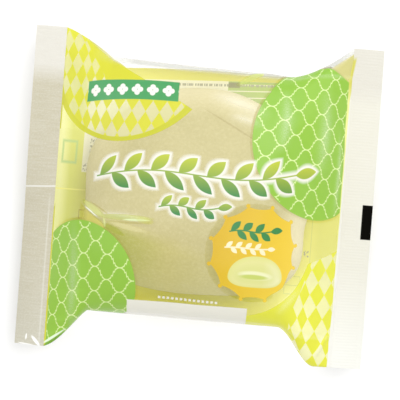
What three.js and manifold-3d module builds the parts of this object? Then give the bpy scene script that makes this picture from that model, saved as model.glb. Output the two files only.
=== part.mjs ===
// A round jam bun sealed in a printed film bag: a flow-wrapped pillow pack that lies on its back.
// The bag is one closed solid: a body swollen round the bun, a flat seal across each end, and a
// fin seam folded flat along the underside. Millimetres, +Z up, +X along the pack, +Y across it,
// with the origin under the middle of the pack, on the surface it rests on.
import * as THREE from "three";
import { LoftGeometry } from "three/addons/geometries/LoftGeometry.js";
import { mergeVertices } from "three/addons/utils/BufferGeometryUtils.js";
import Module from "manifold-3d";

const { clamp, lerp, smoothstep } = THREE.MathUtils;

// Driving dimensions of the whole pack
const PACK_LENGTH = 156; // between the outer edges of the two seals
const SEAL_SPAN = 143; // the film tube laid flat, which is how long each seal is
const SEAL_BAND = 13.6; // width of each sealed band, along X
const BODY_HEIGHT = 45; // over the bun

// The film at the seals
const SEAL_THICKNESS = 0.8;
const SEAL_LEVEL = 15; // height of the bands over the resting surface
const SEAL_WAVE = 1.2; // the bands curl up and down by this much along their length
const SEAL_DROOP = {
  // how far the outer edge hangs, at the far and near ends of the left and right bands
  left: { far: 0.6, near: 4.2 },
  right: { far: 2, near: 2.6 },
};
const DROOP_TURN = 24; // the droop changes over this length, in the middle of a band

// The body between the seals
const SIDE_LEVEL = 18; // height of the widest line round the body
const TOP_ARCH = 2.6; // how soon the top rises from a seal: higher is sooner
const UNDER_ARCH = 5; // and how soon the underside sinks to the resting surface
const FLATTENED = 1.2; // how much the resting surface presses out of the round underside
const TOP_SQUARENESS = 2.8; // superellipse exponents of the body's section, over its widest line
const UNDER_SQUARENESS = 3.6; // and under it
const END_SQUARENESS = 2; // of the lens-shaped section next to a seal

// The body's two long sides, towards +Y (far) and towards -Y (near), at each end of the pack.
// waist is half the body's width where its straight side ends, and straightEnd is where that is
// along X. From there the film flares out, as wide as the seal from flareEnd on: lean says how
// soon, where less is sooner, and tautness how the flare runs, where 0 is an even S and 1 a
// straight line.
const SIDES = {
  far: {
    left: { waist: 59.4, straightEnd: 42.6, flareEnd: 64.4, lean: 0.83, tautness: 0.76 },
    right: { waist: 56.3, straightEnd: 36.7, flareEnd: 64.4, lean: 1.54, tautness: 1 },
  },
  near: {
    left: { waist: 53.8, straightEnd: 45.9, flareEnd: 64.4, lean: 0.81, tautness: 0.4 },
    right: { waist: 54.9, straightEnd: 38.5, flareEnd: 56.5, lean: 1, tautness: 0 },
  },
};

// Soft pleats that run from each seal up the swelling end
const PLEAT_DEPTH = 0.7;
const PLEAT_REACH = 34; // how far they run in from the seal
const PLEATS = 11; // in the girth of the bag
const FINE_PLEATS = 19;
const FINE_SHARE = 0.5; // how deep the fine ones are against the others

// The fin seam, folded to one side of the middle and pressed flat against the underside
const FIN_WIDTH = 11;
const FIN_ROOT = -0.8; // where it leaves the film, along Y
const FIN_THICKNESS = 0.4;
const FIN_SINK = 0.4; // how far the seam's solid reaches into the bag
const FIN_SETBACK = 0.4; // from the outer edge of each seal

// How finely the solid is divided
const RING_POINTS = 80;
const OUTLINE_POINTS = 160;
const BODY_STEPS = 22; // rings from the middle of the pack to a seal
const CROWDING = 1.2; // in radians: how much closer together the rings get towards the seal
const SEAL_STEPS = 2;

// Worked out from the above
const HALF_LENGTH = PACK_LENGTH / 2;
const SEAL_INNER = HALF_LENGTH - SEAL_BAND; // where the sealed band meets the body
const FIN_MIDDLE = FIN_ROOT - FIN_WIDTH / 2;

// Positions along X of the rings that the bag is lofted through.
function stations() {
  const half = [];
  for (let i = 1; i <= BODY_STEPS; i++) {
    half.push((SEAL_INNER * Math.sin((CROWDING * i) / BODY_STEPS)) / Math.sin(CROWDING));
  }
  for (let i = 1; i <= SEAL_STEPS; i++) {
    half.push(SEAL_INNER + (SEAL_BAND * i) / SEAL_STEPS);
  }
  return [...half.map((x) => -x).reverse(), 0, ...half];
}

// The share of its full height or depth that the bag has at x: 0 at a seal, 1 in the middle.
function fullness(x, arch) {
  return 1 - clamp(Math.abs(x) / SEAL_INNER, 0, 1) ** arch;
}

// Half the pack's width at x, on one of its two long sides.
function halfWidth(x, { left, right }) {
  const { straightEnd, flareEnd, lean, tautness } = x < 0 ? left : right;
  const straight = right.straightEnd + left.straightEnd;
  const waist = lerp(left.waist, right.waist, clamp((x + left.straightEnd) / straight, 0, 1));
  const along = clamp((Math.abs(x) - straightEnd) / (flareEnd - straightEnd), 0, 1) ** lean;
  return lerp(waist, SEAL_SPAN / 2, lerp(smoothstep(along, 0, 1), along, tautness));
}

// A sealed band droops and curls a little, and lies straight where it meets the body.
function sealCurl(x, y) {
  const outwards = clamp((Math.abs(x) - SEAL_INNER) / SEAL_BAND, 0, 1);
  const { far, near } = x < 0 ? SEAL_DROOP.left : SEAL_DROOP.right;
  const droop = lerp(near, far, smoothstep(y, -DROOP_TURN, DROOP_TURN));
  const wave = SEAL_WAVE * Math.sin((Math.PI * y) / SEAL_SPAN + Math.sign(x));
  return wave * outwards - droop * outwards ** 2;
}

// The bag's outline across X at x, as four quarter superellipses that meet on its widest line.
function outline(x) {
  const over = fullness(x, TOP_ARCH);
  const under = fullness(x, UNDER_ARCH);
  const level = lerp(SEAL_LEVEL, SIDE_LEVEL, under);
  const rise = lerp(SEAL_THICKNESS / 2, BODY_HEIGHT - SIDE_LEVEL, over);
  const depth = lerp(SEAL_THICKNESS / 2, SIDE_LEVEL + FLATTENED, under);
  const topSquareness = lerp(END_SQUARENESS, TOP_SQUARENESS, over);
  const underSquareness = lerp(END_SQUARENESS, UNDER_SQUARENESS, under);
  const points = [];
  for (let i = 0; i < OUTLINE_POINTS; i++) {
    const angle = (2 * Math.PI * i) / OUTLINE_POINTS;
    const across = Math.cos(angle);
    const up = Math.sin(angle);
    const squareness = up > 0 ? topSquareness : underSquareness;
    const y = Math.sign(across) * halfWidth(x, across > 0 ? SIDES.far : SIDES.near);
    const z = up > 0 ? rise : -depth;
    points.push(
      new THREE.Vector3(
        x,
        y * Math.abs(across) ** (2 / squareness),
        level + z * Math.abs(up) ** (2 / squareness),
      ),
    );
  }
  return points;
}

// How far the pleats push the film out at x, a share of the way round the girth from the far side.
function pleat(x, share) {
  const over = Math.max(0, Math.sin(2 * Math.PI * share)) ** 2; // the underside stays smooth
  const inwards = clamp((SEAL_INNER - Math.abs(x)) / PLEAT_REACH, 0, 1);
  const phase = Math.sign(x);
  const waves =
    Math.sin(2 * Math.PI * PLEATS * share + phase) +
    FINE_SHARE * Math.sin(2 * Math.PI * FINE_PLEATS * share - phase);
  return PLEAT_DEPTH * waves * over * Math.sin(Math.PI * inwards) ** 2;
}

// Half a ring's points, evenly spaced along a curve, without the last one.
function evenly(points) {
  return new THREE.CatmullRomCurve3(points).getSpacedPoints(RING_POINTS / 2).slice(0, -1);
}

// One ring of the bag: over the top from the far side to the near one, then back along the
// underside, which is pressed flat on the resting surface.
function ring(x) {
  const girth = outline(x);
  const over = evenly(girth.slice(0, OUTLINE_POINTS / 2 + 1));
  const under = evenly([...girth.slice(OUTLINE_POINTS / 2), girth[0]]);
  return [...over, ...under].map((point, i) => {
    point.z += pleat(x, i / RING_POINTS) + sealCurl(x, point.y);
    point.z = Math.max(point.z, 0);
    return point;
  });
}

// The bag without its fin seam.
function bagGeometry() {
  return new LoftGeometry(stations().map(ring), { capStart: true, capEnd: true });
}

// Height of the bag's underside at x, midway across the fin seam.
function underside(x) {
  const below = ring(x).filter((point, i) => i >= RING_POINTS / 2);
  const nearest = below.reduce((a, b) =>
    Math.abs(a.y - FIN_MIDDLE) < Math.abs(b.y - FIN_MIDDLE) ? a : b,
  );
  return nearest.z;
}

// The fin seam: a ribbon that follows the underside from one seal's outer edge to the other's,
// pressed flush with it where the pack rests.
function finGeometry() {
  const end = HALF_LENGTH - FIN_SETBACK;
  const along = stations().map((x) => clamp(x, -end, end));
  const lower = along.map((x) => new THREE.Vector2(x, Math.max(underside(x) - FIN_THICKNESS, 0)));
  const upper = along.map((x) => new THREE.Vector2(x, underside(x) + FIN_SINK)).reverse();
  const ribbon = new THREE.Shape([...lower, ...upper]);
  return new THREE.ExtrudeGeometry(ribbon, { depth: FIN_WIDTH, bevelEnabled: false })
    .rotateX(Math.PI / 2)
    .translate(0, FIN_ROOT, 0);
}

const wasm = await Module();
wasm.setup();

// A closed geometry as a solid that can be joined to others.
function toSolid(geometry) {
  const bare = new THREE.BufferGeometry()
    .setAttribute("position", geometry.getAttribute("position"))
    .setIndex(geometry.getIndex());
  const merged = mergeVertices(bare);
  return new wasm.Manifold(
    new wasm.Mesh({
      numProp: 3,
      vertProperties: merged.attributes.position.array,
      triVerts: new Uint32Array(merged.index.array),
    }),
  );
}

// A solid as a geometry again.
function toGeometry(solid) {
  const { vertProperties, triVerts } = solid.getMesh();
  const geometry = new THREE.BufferGeometry()
    .setAttribute("position", new THREE.BufferAttribute(vertProperties, 3))
    .setIndex(new THREE.BufferAttribute(triVerts, 1));
  geometry.computeVertexNormals();
  return geometry;
}

// Glossy lime film, nearly clear over the bun.
const film = new THREE.MeshStandardMaterial({
  color: 0xe3e28c,
  roughness: 0.25,
  metalness: 0,
});

const sealedBag = new THREE.Mesh(
  toGeometry(toSolid(bagGeometry()).add(toSolid(finGeometry()))),
  film,
);
sealedBag.name = "sealed_bag";

const pack = new THREE.Group();
pack.add(sealedBag);

export default pack;
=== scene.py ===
"""A round jam bun sealed in a printed film bag, which lies on its back on a pale floor."""

import math
from collections import namedtuple

import bpy
import numpy as np
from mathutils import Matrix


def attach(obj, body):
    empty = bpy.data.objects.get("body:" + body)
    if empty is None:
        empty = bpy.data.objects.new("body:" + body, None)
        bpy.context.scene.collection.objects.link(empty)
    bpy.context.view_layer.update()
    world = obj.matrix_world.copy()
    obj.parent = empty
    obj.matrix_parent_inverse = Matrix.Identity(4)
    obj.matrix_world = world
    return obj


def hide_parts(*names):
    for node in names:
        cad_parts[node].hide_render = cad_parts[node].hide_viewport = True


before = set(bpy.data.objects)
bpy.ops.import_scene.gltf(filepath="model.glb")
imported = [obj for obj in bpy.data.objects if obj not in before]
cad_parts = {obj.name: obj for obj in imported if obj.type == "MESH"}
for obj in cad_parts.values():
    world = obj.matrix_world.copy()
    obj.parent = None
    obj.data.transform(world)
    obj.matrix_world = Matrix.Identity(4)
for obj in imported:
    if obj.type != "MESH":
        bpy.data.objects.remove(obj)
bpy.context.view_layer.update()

MM = 0.001  # sizes below are in millimetres, and Blender's are in metres

# The bag's form, as in the CAD model
PACK_LENGTH = 156
SEAL_SPAN = 143
SEAL_BAND = 13.6
BODY_HEIGHT = 45
SEAL_LEVEL = 15
SEAL_WAVE = 1.2
SEAL_DROOP = {-1: {"far": 0.6, "near": 4.2}, 1: {"far": 2, "near": 2.6}}  # left and right
DROOP_TURN = 24
SIDE_LEVEL = 18
TOP_ARCH = 2.6
UNDER_ARCH = 5
FLATTENED = 1.2
TOP_SQUARENESS = 2.8
UNDER_SQUARENESS = 3.6
END_SQUARENESS = 2
# An end of a long side: half the width where its straight part ends, where that is, and how it flares
Flare = namedtuple("Flare", "waist straight_end flare_end lean tautness")
SIDES = {
    "far": {"left": Flare(59.4, 42.6, 64.4, 0.83, 0.76), "right": Flare(56.3, 36.7, 64.4, 1.54, 1)},
    "near": {"left": Flare(53.8, 45.9, 64.4, 0.81, 0.4), "right": Flare(54.9, 38.5, 56.5, 1, 0)},
}
FIN_WIDTH = 11
FIN_ROOT = -0.8
FIN_SETBACK = 0.4
FIN_CLEARANCE = 5  # the back panel's pleats fade out within this distance of the fin seam
FIN_GAP = 0.2  # between the seam and the film over it
FILM_RISE = 0.4  # the underside lies this high, over the fin seam

# The film, which is much thinner than the CAD model's bands
SEAL_THICKNESS = 0.3
RIB_PITCH = 1.3
RIB_HEIGHT = 0.035
RIB_MARGIN = 2  # the ribs fade out within this distance of a band's edges
SHARP_EDGE = math.radians(50)  # the bands' edges that turn more than this stay sharp

# The bun
BUN_CENTRE = (0.5, 0.7)
BUN_RADII = (51.6, 48.2)  # along X, and across it on the far side
BUN_SQUARENESS = 2.3  # superellipse exponent of its outline in plan, on the far side
BUN_NEAR_RADIUS = 44.8  # across X on the near side, which is flatter
BUN_NEAR_SQUARENESS = 3
BUN_DENTS = ((62, 15, 2.2), (345, 16, 3.5))  # flat places in its side: angle in plan, spread, depth
BUN_WAVES = (2, 3, 4, 5, 7)  # its outline is uneven, with these numbers of waves round it
BUN_WAVE_HEIGHT = (0.2, 0.55)
BUN_SEED = 3
BUN_BASE = 0.7  # its flat base lies this high, on the film
BUN_HEIGHT = 39
BUN_SHOULDER = 11  # height of its widest line over its base
BUN_ROUNDNESS = 0.62  # how its side runs: less is squarer

# How finely the pieces are divided
FILM_ALONG = 200
FILM_ACROSS = 180
OUTLINE_POINTS = 721
CROWDING = 1.2
SEAL_ALONG = 440
SEAL_ACROSS = 18
FIN_ALONG = 120
FIN_ACROSS = 8
BUN_RINGS = 150
BUN_SPOKES = 320
BUN_SIDE_POINTS = 4001

# Worked out from the above
HALF_LENGTH = PACK_LENGTH / 2
SEAL_INNER = HALF_LENGTH - SEAL_BAND


def lerp(a, b, share):
    return a + (b - a) * share


def clamp(share):
    return np.clip(share, 0, 1)


def smoothstep(share):
    share = clamp(share)
    return share * share * (3 - 2 * share)


# The bag's form


def fullness(x, arch):
    """The share of its full height or depth that the bag has at x: 0 at a seal, 1 in the middle."""
    return 1 - min(abs(x) / SEAL_INNER, 1) ** arch


def half_width(x, side):
    """Half the pack's width at x, on one of its two long sides."""
    left, right = side["left"], side["right"]
    end = left if x < 0 else right
    straight = right.straight_end + left.straight_end
    waist = lerp(left.waist, right.waist, clamp((x + left.straight_end) / straight))
    flare = end.flare_end - end.straight_end
    along = clamp((abs(x) - end.straight_end) / flare) ** end.lean
    return lerp(waist, SEAL_SPAN / 2, lerp(smoothstep(along), along, end.tautness))


def section(x, over):
    """The front's or the back's outline across X at x, from the far side to the near one: (y, z)."""
    angle = np.linspace(0, math.pi, OUTLINE_POINTS)
    across = np.cos(angle)
    up = np.sin(angle)
    under = fullness(x, UNDER_ARCH)
    level = lerp(SEAL_LEVEL, SIDE_LEVEL, under)
    if over:
        full = fullness(x, TOP_ARCH)
        reach = lerp(SEAL_THICKNESS / 2, BODY_HEIGHT - SIDE_LEVEL, full)
        power = 2 / lerp(END_SQUARENESS, TOP_SQUARENESS, full)
    else:
        reach = -lerp(SEAL_THICKNESS / 2, SIDE_LEVEL - FILM_RISE + FLATTENED, under)
        power = 2 / lerp(END_SQUARENESS, UNDER_SQUARENESS, under)
    width = np.where(across > 0, half_width(x, SIDES["far"]), half_width(x, SIDES["near"]))
    y = np.sign(across) * width * np.abs(across) ** power
    z = np.maximum(level + reach * np.abs(up) ** power, FILM_RISE)
    return y, z


def run_lengths(*columns):
    """How far along a line of points each point is."""
    steps = sum(np.diff(column) ** 2 for column in columns)
    return np.concatenate([[0], np.cumsum(np.sqrt(steps))])


def stations():
    """Places along X of the film's rows of points, closer together towards the seals."""
    turn = np.linspace(-CROWDING, CROWDING, FILM_ALONG + 1)
    return SEAL_INNER * np.sin(turn) / math.sin(CROWDING)


def crown(x):
    """Height of the front panel's middle line at x."""
    y, z = section(x, True)
    return np.interp(0, -y, z)


def film_sheet(over):
    """The front or back panel, smooth: its points, and the film's own coordinates, along and across."""
    rows = []
    flat = []
    xs = stations()
    along = run_lengths(xs, np.array([crown(x) for x in xs]))
    along -= along[FILM_ALONG // 2]
    for x, u in zip(xs, along):
        y, z = section(x, over)
        length = run_lengths(y, z)
        even = np.linspace(0, length[-1], FILM_ACROSS + 1)
        ys = np.interp(even, length, y)
        rows.append(np.stack([np.full_like(ys, x), ys, np.interp(even, length, z)], 1))
        middle = np.interp(0, -y, length)
        flat.append(np.stack([np.full_like(ys, u), middle - even], 1))
    return np.array(rows), np.array(flat)


def sheet_normals(points):
    """Unit normals of a grid of points, on the side that faces up where rows run along +X and -Y."""
    along = np.gradient(points, axis=0)
    across = np.gradient(points, axis=1)
    normal = np.cross(across, along)
    return normal / np.linalg.norm(normal, axis=2, keepdims=True)


# Folds in the film

# Each fold runs from start to end in the film's own coordinates, bows sideways by a share of its
# length, and stands out by its height. Its white paints a highlight along it, as whiter film.
Fold = namedtuple("Fold", "start end bow width height white", defaults=(0, 0))
FRONT_FOLDS = (
    Fold((-54, -6.6), (-43, -12.2), 0, 0.8, 0.9, 0.6),
    Fold((-48, -10.5), (-19, -11.8), 0.03, 1.5, 1.2, 0.4),
    Fold((-41.6, -11.4), (-40.8, -16.6), 0, 0.7, 0.6, 0.4),
    Fold((0, 45.5), (30, 37), 0.03, 4.6, 0.2, 0.3),
    Fold((9, 36.4), (27, 32.6), 0.02, 2.8, 0.2, 0.24),
    Fold((-58.5, -9), (-57.5, -72), 0.02, 4.4, 0.5, 0.5),
    Fold((-77, -71), (-58.5, -62.9), 0.03, 0.75, 0.9),
    Fold((60, -70), (72, -56), 0.05, 1.2, 0.9, 0.3),
    Fold((58, 60), (75, 70), -0.04, 1.2, 0.8, 0.25),
    Fold((35, 52), (34, 20), 0.05, 3.4, 0.4, 0.3),
    Fold((57.5, 54), (54, 10), 0.04, 4.6, 0.5, 0.28),
    Fold((67, 36), (67, -6), 0.03, 2, 0.5, 0.3),
    Fold((10, 55), (38, 66), 0.04, 1.4, 0.6, 0.25),
    Fold((38, -51), (51, -35), 0.02, 2.4, 0.3, 0.3),
)
FOLD_EDGE = 1.5  # how a fold falls off sideways: higher is squarer
FOLD_TAPER = 0.7  # and towards its ends: lower is squarer

# Pleats at the seals, and the unevenness of loose film
PLEAT_SPAN = 58  # the pleats start evenly up to this distance from the middle line
PLEAT_SHIFT = 4  # and are shifted by this much at most
PLEAT_LENGTHS = (12, 38)
PLEAT_GATHER = (0.84, 0.98)  # they end at this share of that distance
PLEAT_WIDTHS = (1.3, 3.4)
PLEAT_BOW = 0.04
PLEAT_SHARES = (0.25, 1)  # of the tallest one's height
SLACK_WAVES = 14
SLACK_PITCHES = (14, 46)
SLACK_SCALE = 4  # what so many waves come to, together
HELD_ALONG = 0.03  # folds fade out over this share of a panel's length at each seal
HELD_ACROSS = 0.06  # and over this share of its width at each long side

# The film's whiteness. A fade is a limit, and the length over which the change runs past it.
CLEAR_HAZE = 0.08  # how far bare film hides what is behind it
MOST_HAZE = 0.75
# Painted reflection: where the film turns down the two long sides it hides more, in a grey sheen of film
# seen edge-on
SIDE_REFLECTION_HAZE = 0.58
SIDE_HAZE_START = (56.5, 3.5)
SIDE_HAZE_END = (74, -10)
SIDE_HAZE_ALONG = (-56, 24)
CLING = 0.7  # how much clearer the film is where it clings to the bun
CLING_ACROSS = (-11, -8)
CLING_ALONG = (14, -24)


def ridge(flat, fold):
    """How far a fold stands out, as a share of its height, at points in the film's own coordinates."""
    start, end = np.array(fold.start), np.array(fold.end)
    run = end - start
    length = np.hypot(*run)
    away = flat - start
    along = (away @ run) / length**2
    side = (away[..., 1] * run[0] - away[..., 0] * run[1]) / length
    side = np.abs(side - fold.bow * length * 4 * along * (1 - along)) / fold.width
    return np.exp(-(side**FOLD_EDGE)) * np.sin(math.pi * clamp(along)) ** FOLD_TAPER


def end_pleats(flat, seed, count, tallest):
    """Pleats that run in from each seal, where the flat film has to follow the round body."""
    random = np.random.default_rng(seed)
    reach = flat[..., 0].max()
    height = np.zeros(flat.shape[:2])
    for end in (-1, 1):
        for place in np.linspace(-PLEAT_SPAN, PLEAT_SPAN, count):
            across = place + random.uniform(-PLEAT_SHIFT, PLEAT_SHIFT)
            inner = reach - random.uniform(*PLEAT_LENGTHS)
            gathered = across * random.uniform(*PLEAT_GATHER)
            width = random.uniform(*PLEAT_WIDTHS)
            bow = random.uniform(-PLEAT_BOW, PLEAT_BOW)
            pleat = ridge(flat, Fold((end * reach, across), (end * inner, gathered), bow, width))
            height += pleat * random.uniform(*PLEAT_SHARES) * tallest * random.choice([-1, 1])
    return height


def slack(flat, seed, height):
    """Faint unevenness of the loose film."""
    random = np.random.default_rng(seed)
    total = np.zeros(flat.shape[:2])
    for _ in range(SLACK_WAVES):
        turn = random.uniform(0, 2 * math.pi)
        pitch = random.uniform(*SLACK_PITCHES)
        phase = random.uniform(0, 2 * math.pi)
        way = flat[..., 0] * math.cos(turn) + flat[..., 1] * math.sin(turn)
        total += np.sin(2 * math.pi * way / pitch + phase) * pitch / SLACK_PITCHES[1]
    return height * total / SLACK_SCALE


def held_edges(flat):
    """0 along the seals and the two long sides, where the panels meet, and 1 elsewhere."""

    def hold(count, share):
        steps = np.arange(count) / (count - 1)
        return smoothstep(np.minimum(steps, 1 - steps) / share)

    rows, columns = flat.shape[:2]
    return hold(rows, HELD_ALONG)[:, None] * hold(columns, HELD_ACROSS)[None, :]


# Meshes


def grid_faces(rows, columns, closed=False):
    """Faces between rows of points, which face up where rows run along +X and columns along -Y."""
    faces = []
    for i in range(rows - 1):
        for j in range(columns if closed else columns - 1):
            k = (j + 1) % columns
            faces.append((i * columns + j, i * columns + k, (i + 1) * columns + k, (i + 1) * columns + j))
    return faces


def add_object(name, data):
    thing = bpy.data.objects.new(name, data)
    bpy.context.scene.collection.objects.link(thing)
    return thing


def add_piece(name, points, faces, material, maps=None, haze=None, casts_shadow=True):
    """A smooth mesh with UV maps, which takes the place of the CAD model's bag."""
    mesh = bpy.data.meshes.new(name)
    mesh.from_pydata((np.asarray(points) * MM).tolist(), [], faces)
    corners = np.zeros(len(mesh.loops), dtype=np.int32)
    mesh.loops.foreach_get("vertex_index", corners)
    for map_name, places in (maps or {}).items():
        layer = mesh.uv_layers.new(name=map_name)
        layer.uv.foreach_set("vector", np.asarray(places, dtype=np.float32)[corners].ravel())
    if haze is not None:
        layer = mesh.attributes.new(HAZE_AND_SHEEN_LAYER, "FLOAT", "POINT")
        layer.data.foreach_set("value", np.asarray(haze, dtype=np.float32).ravel())
    mesh.polygons.foreach_set("use_smooth", np.ones(len(mesh.polygons), dtype=bool))
    mesh.materials.append(material)
    piece = add_object(name, mesh)
    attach(piece, "root")
    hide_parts("sealed_bag")
    piece.visible_shadow = casts_shadow
    piece.visible_diffuse = casts_shadow
    return piece


def unit_map(rows, columns):
    """A map that spreads a grid over the whole unit square."""
    along, across = np.meshgrid(np.linspace(0, 1, rows), np.linspace(0, 1, columns), indexing="ij")
    return np.stack([along, across], 2).reshape(-1, 2)


FILM_MAP = "film_mm"  # the film's own coordinates, in millimetres
BAKE_MAP = "OFBake"  # the map that textures are baked through
HAZE_AND_SHEEN_LAYER = "haze"  # how milky the film is at a point, with its painted highlights and painted side reflection


def add_panel(name, over, height, haze, material):
    """The front or back panel of the film, with its folds pushed out by height."""
    points, flat = film_sheet(over)
    away = height(flat) * held_edges(flat)
    points = points + sheet_normals(points) * away[..., None]
    points[..., 2] = np.maximum(points[..., 2], FILM_RISE)
    rows, columns = points.shape[:2]
    faces = grid_faces(rows, columns)
    if not over:
        faces = [face[::-1] for face in faces]
    maps = {FILM_MAP: flat.reshape(-1, 2), BAKE_MAP: unit_map(rows, columns)}
    # The panels cast no shadow and bounce no light, so their thin ink leaves no dark shapes on the bun
    points = points.reshape(-1, 3)
    return add_piece(name, points, faces, material, maps, haze(flat), casts_shadow=False)


def front_height(flat):
    folds = sum(fold.height * ridge(flat, fold) for fold in FRONT_FOLDS)
    pleats = end_pleats(flat, seed=11, count=9, tallest=0.45)
    return folds + pleats + slack(flat, seed=5, height=0.28)


def fade(values, limit, length):
    """0 up to a limit and 1 from a length past it; a length under 0 goes the other way."""
    return clamp((values - limit) / length)


def front_haze_and_sheen(flat):
    """Painted highlights on folds and painted reflection on the long sides; clearer where it clings to
    the bun.
    """
    folds = sum(fold.white * ridge(flat, fold) ** 2 for fold in FRONT_FOLDS)
    along, across = flat[..., 0], flat[..., 1]
    out = np.abs(across)
    turned = smoothstep(fade(out, *SIDE_HAZE_START)) * smoothstep(fade(out, *SIDE_HAZE_END))
    turned *= fade(along, *SIDE_HAZE_ALONG)
    clinging = fade(across, *CLING_ACROSS) * fade(along, *CLING_ALONG)
    return np.clip(CLEAR_HAZE * (1 - CLING * clinging) + folds + SIDE_REFLECTION_HAZE * turned, 0, MOST_HAZE)


def back_height(flat):
    """Pleats, but none along the fin seam, which lies against the back panel."""
    from_fin = np.abs(flat[..., 1] - FIN_ROOT + FIN_WIDTH / 2) - FIN_WIDTH / 2
    pleats = end_pleats(flat, seed=23, count=8, tallest=0.4)
    return pleats * smoothstep(from_fin / FIN_CLEARANCE)


def back_haze(flat):
    return np.full(flat.shape[:2], CLEAR_HAZE)


def seal_curl(x, y, end):
    """How far the left (-1) or right (1) sealed band curls up from its level."""
    outwards = clamp((np.abs(x) - SEAL_INNER) / SEAL_BAND)
    turn = smoothstep((y + DROOP_TURN) / (2 * DROOP_TURN))
    droop = lerp(SEAL_DROOP[end]["near"], SEAL_DROOP[end]["far"], turn)
    wave = SEAL_WAVE * np.sin(math.pi * y / SEAL_SPAN + end)
    return wave * outwards - droop * outwards**2


def add_seal(name, end, material):
    """One sealed band: both films pressed together between ribbed jaws, as a thin closed strip."""
    across = np.linspace(SEAL_INNER, HALF_LENGTH, SEAL_ACROSS + 1) * end
    along = np.linspace(SEAL_SPAN / 2, -SEAL_SPAN / 2, SEAL_ALONG + 1)
    if end < 0:
        across = across[::-1]
    x, y = np.meshgrid(across, along, indexing="ij")
    inset = np.minimum(np.abs(x) - SEAL_INNER, HALF_LENGTH - np.abs(x)) / RIB_MARGIN
    ribs = RIB_HEIGHT * np.sin(2 * math.pi * y / RIB_PITCH) * clamp(inset)
    middle = SEAL_LEVEL + seal_curl(x, y, end) + ribs
    top = np.stack([x, y, middle + SEAL_THICKNESS / 2], 2)
    bottom = np.stack([x, y, middle - SEAL_THICKNESS / 2], 2)
    rows, columns = x.shape
    count = rows * columns
    faces = grid_faces(rows, columns)
    faces += [tuple(count + i for i in reversed(face)) for face in grid_faces(rows, columns)]
    rim = [i * columns for i in range(rows)]
    rim += [(rows - 1) * columns + j for j in range(1, columns)]
    rim += [i * columns + columns - 1 for i in range(rows - 2, -1, -1)]
    rim += [j for j in range(columns - 2, 0, -1)]
    for a, b in zip(rim, rim[1:] + rim[:1]):
        faces.append((a, b, count + b, count + a))
    points = np.concatenate([top.reshape(-1, 3), bottom.reshape(-1, 3)])
    flat = np.stack([x, y], 2).reshape(-1, 2)
    maps = {FILM_MAP: np.concatenate([flat, flat])}
    piece = add_piece(name, points, faces, material, maps)
    piece.data.set_sharp_from_angle(angle=SHARP_EDGE)
    return piece


def add_fin(material):
    """The fin seam: a ribbon folded flat against the back panel, from seal to seal."""
    end = HALF_LENGTH - FIN_SETBACK
    xs = np.linspace(-end, end, FIN_ALONG + 1)
    ys = np.linspace(FIN_ROOT, FIN_ROOT - FIN_WIDTH, FIN_ACROSS + 1)
    points = []
    for x in xs:
        for y in ys:
            if abs(x) > SEAL_INNER:
                under = SEAL_LEVEL + float(seal_curl(x, y, int(np.sign(x)))) - SEAL_THICKNESS / 2
            else:
                section_y, section_z = section(x, False)
                under = np.interp(-y, -section_y, section_z)
            points.append((x, y, under - FIN_GAP))
    faces = [face[::-1] for face in grid_faces(len(xs), len(ys))]
    flat = np.array(points)[:, :2]
    maps = {FILM_MAP: flat, BAKE_MAP: unit_map(len(xs), len(ys))}
    return add_piece("fin_seam", points, faces, material, maps)


# The crust's creases and plump folds, in plan, like the film's folds
BUN_CREASES = (
    Fold((-2, 39.4), (27, 24), 0.02, 0.8, -0.7),
    Fold((3, 43.5), (31, 30), 0.05, 4.5, 1.1),
    Fold((9, 36.5), (31, 34), -0.05, 1.2, -0.3),
    Fold((-44, -8), (-16, -15), -0.06, 2.2, -0.8),
    Fold((-40, 30), (-22, 40), 0.05, 2.6, -0.6),
)


def bun_turns():
    """Angles of the bun's rings, from its base to its top, evenly spaced along its side."""
    fine = np.linspace(-1, 1, BUN_SIDE_POINTS)
    angle = math.pi / 2 * np.sign(fine) * (1 - (1 - np.abs(fine)) ** 2)
    out = BUN_RADII[0] * np.maximum(np.cos(angle), 0) ** BUN_ROUNDNESS
    up = np.where(angle < 0, BUN_SHOULDER, BUN_HEIGHT - BUN_SHOULDER) * np.sin(angle)
    length = run_lengths(out, up)
    return np.interp(np.linspace(0, length[-1], BUN_RINGS + 1)[1:-1], length, angle)


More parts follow.
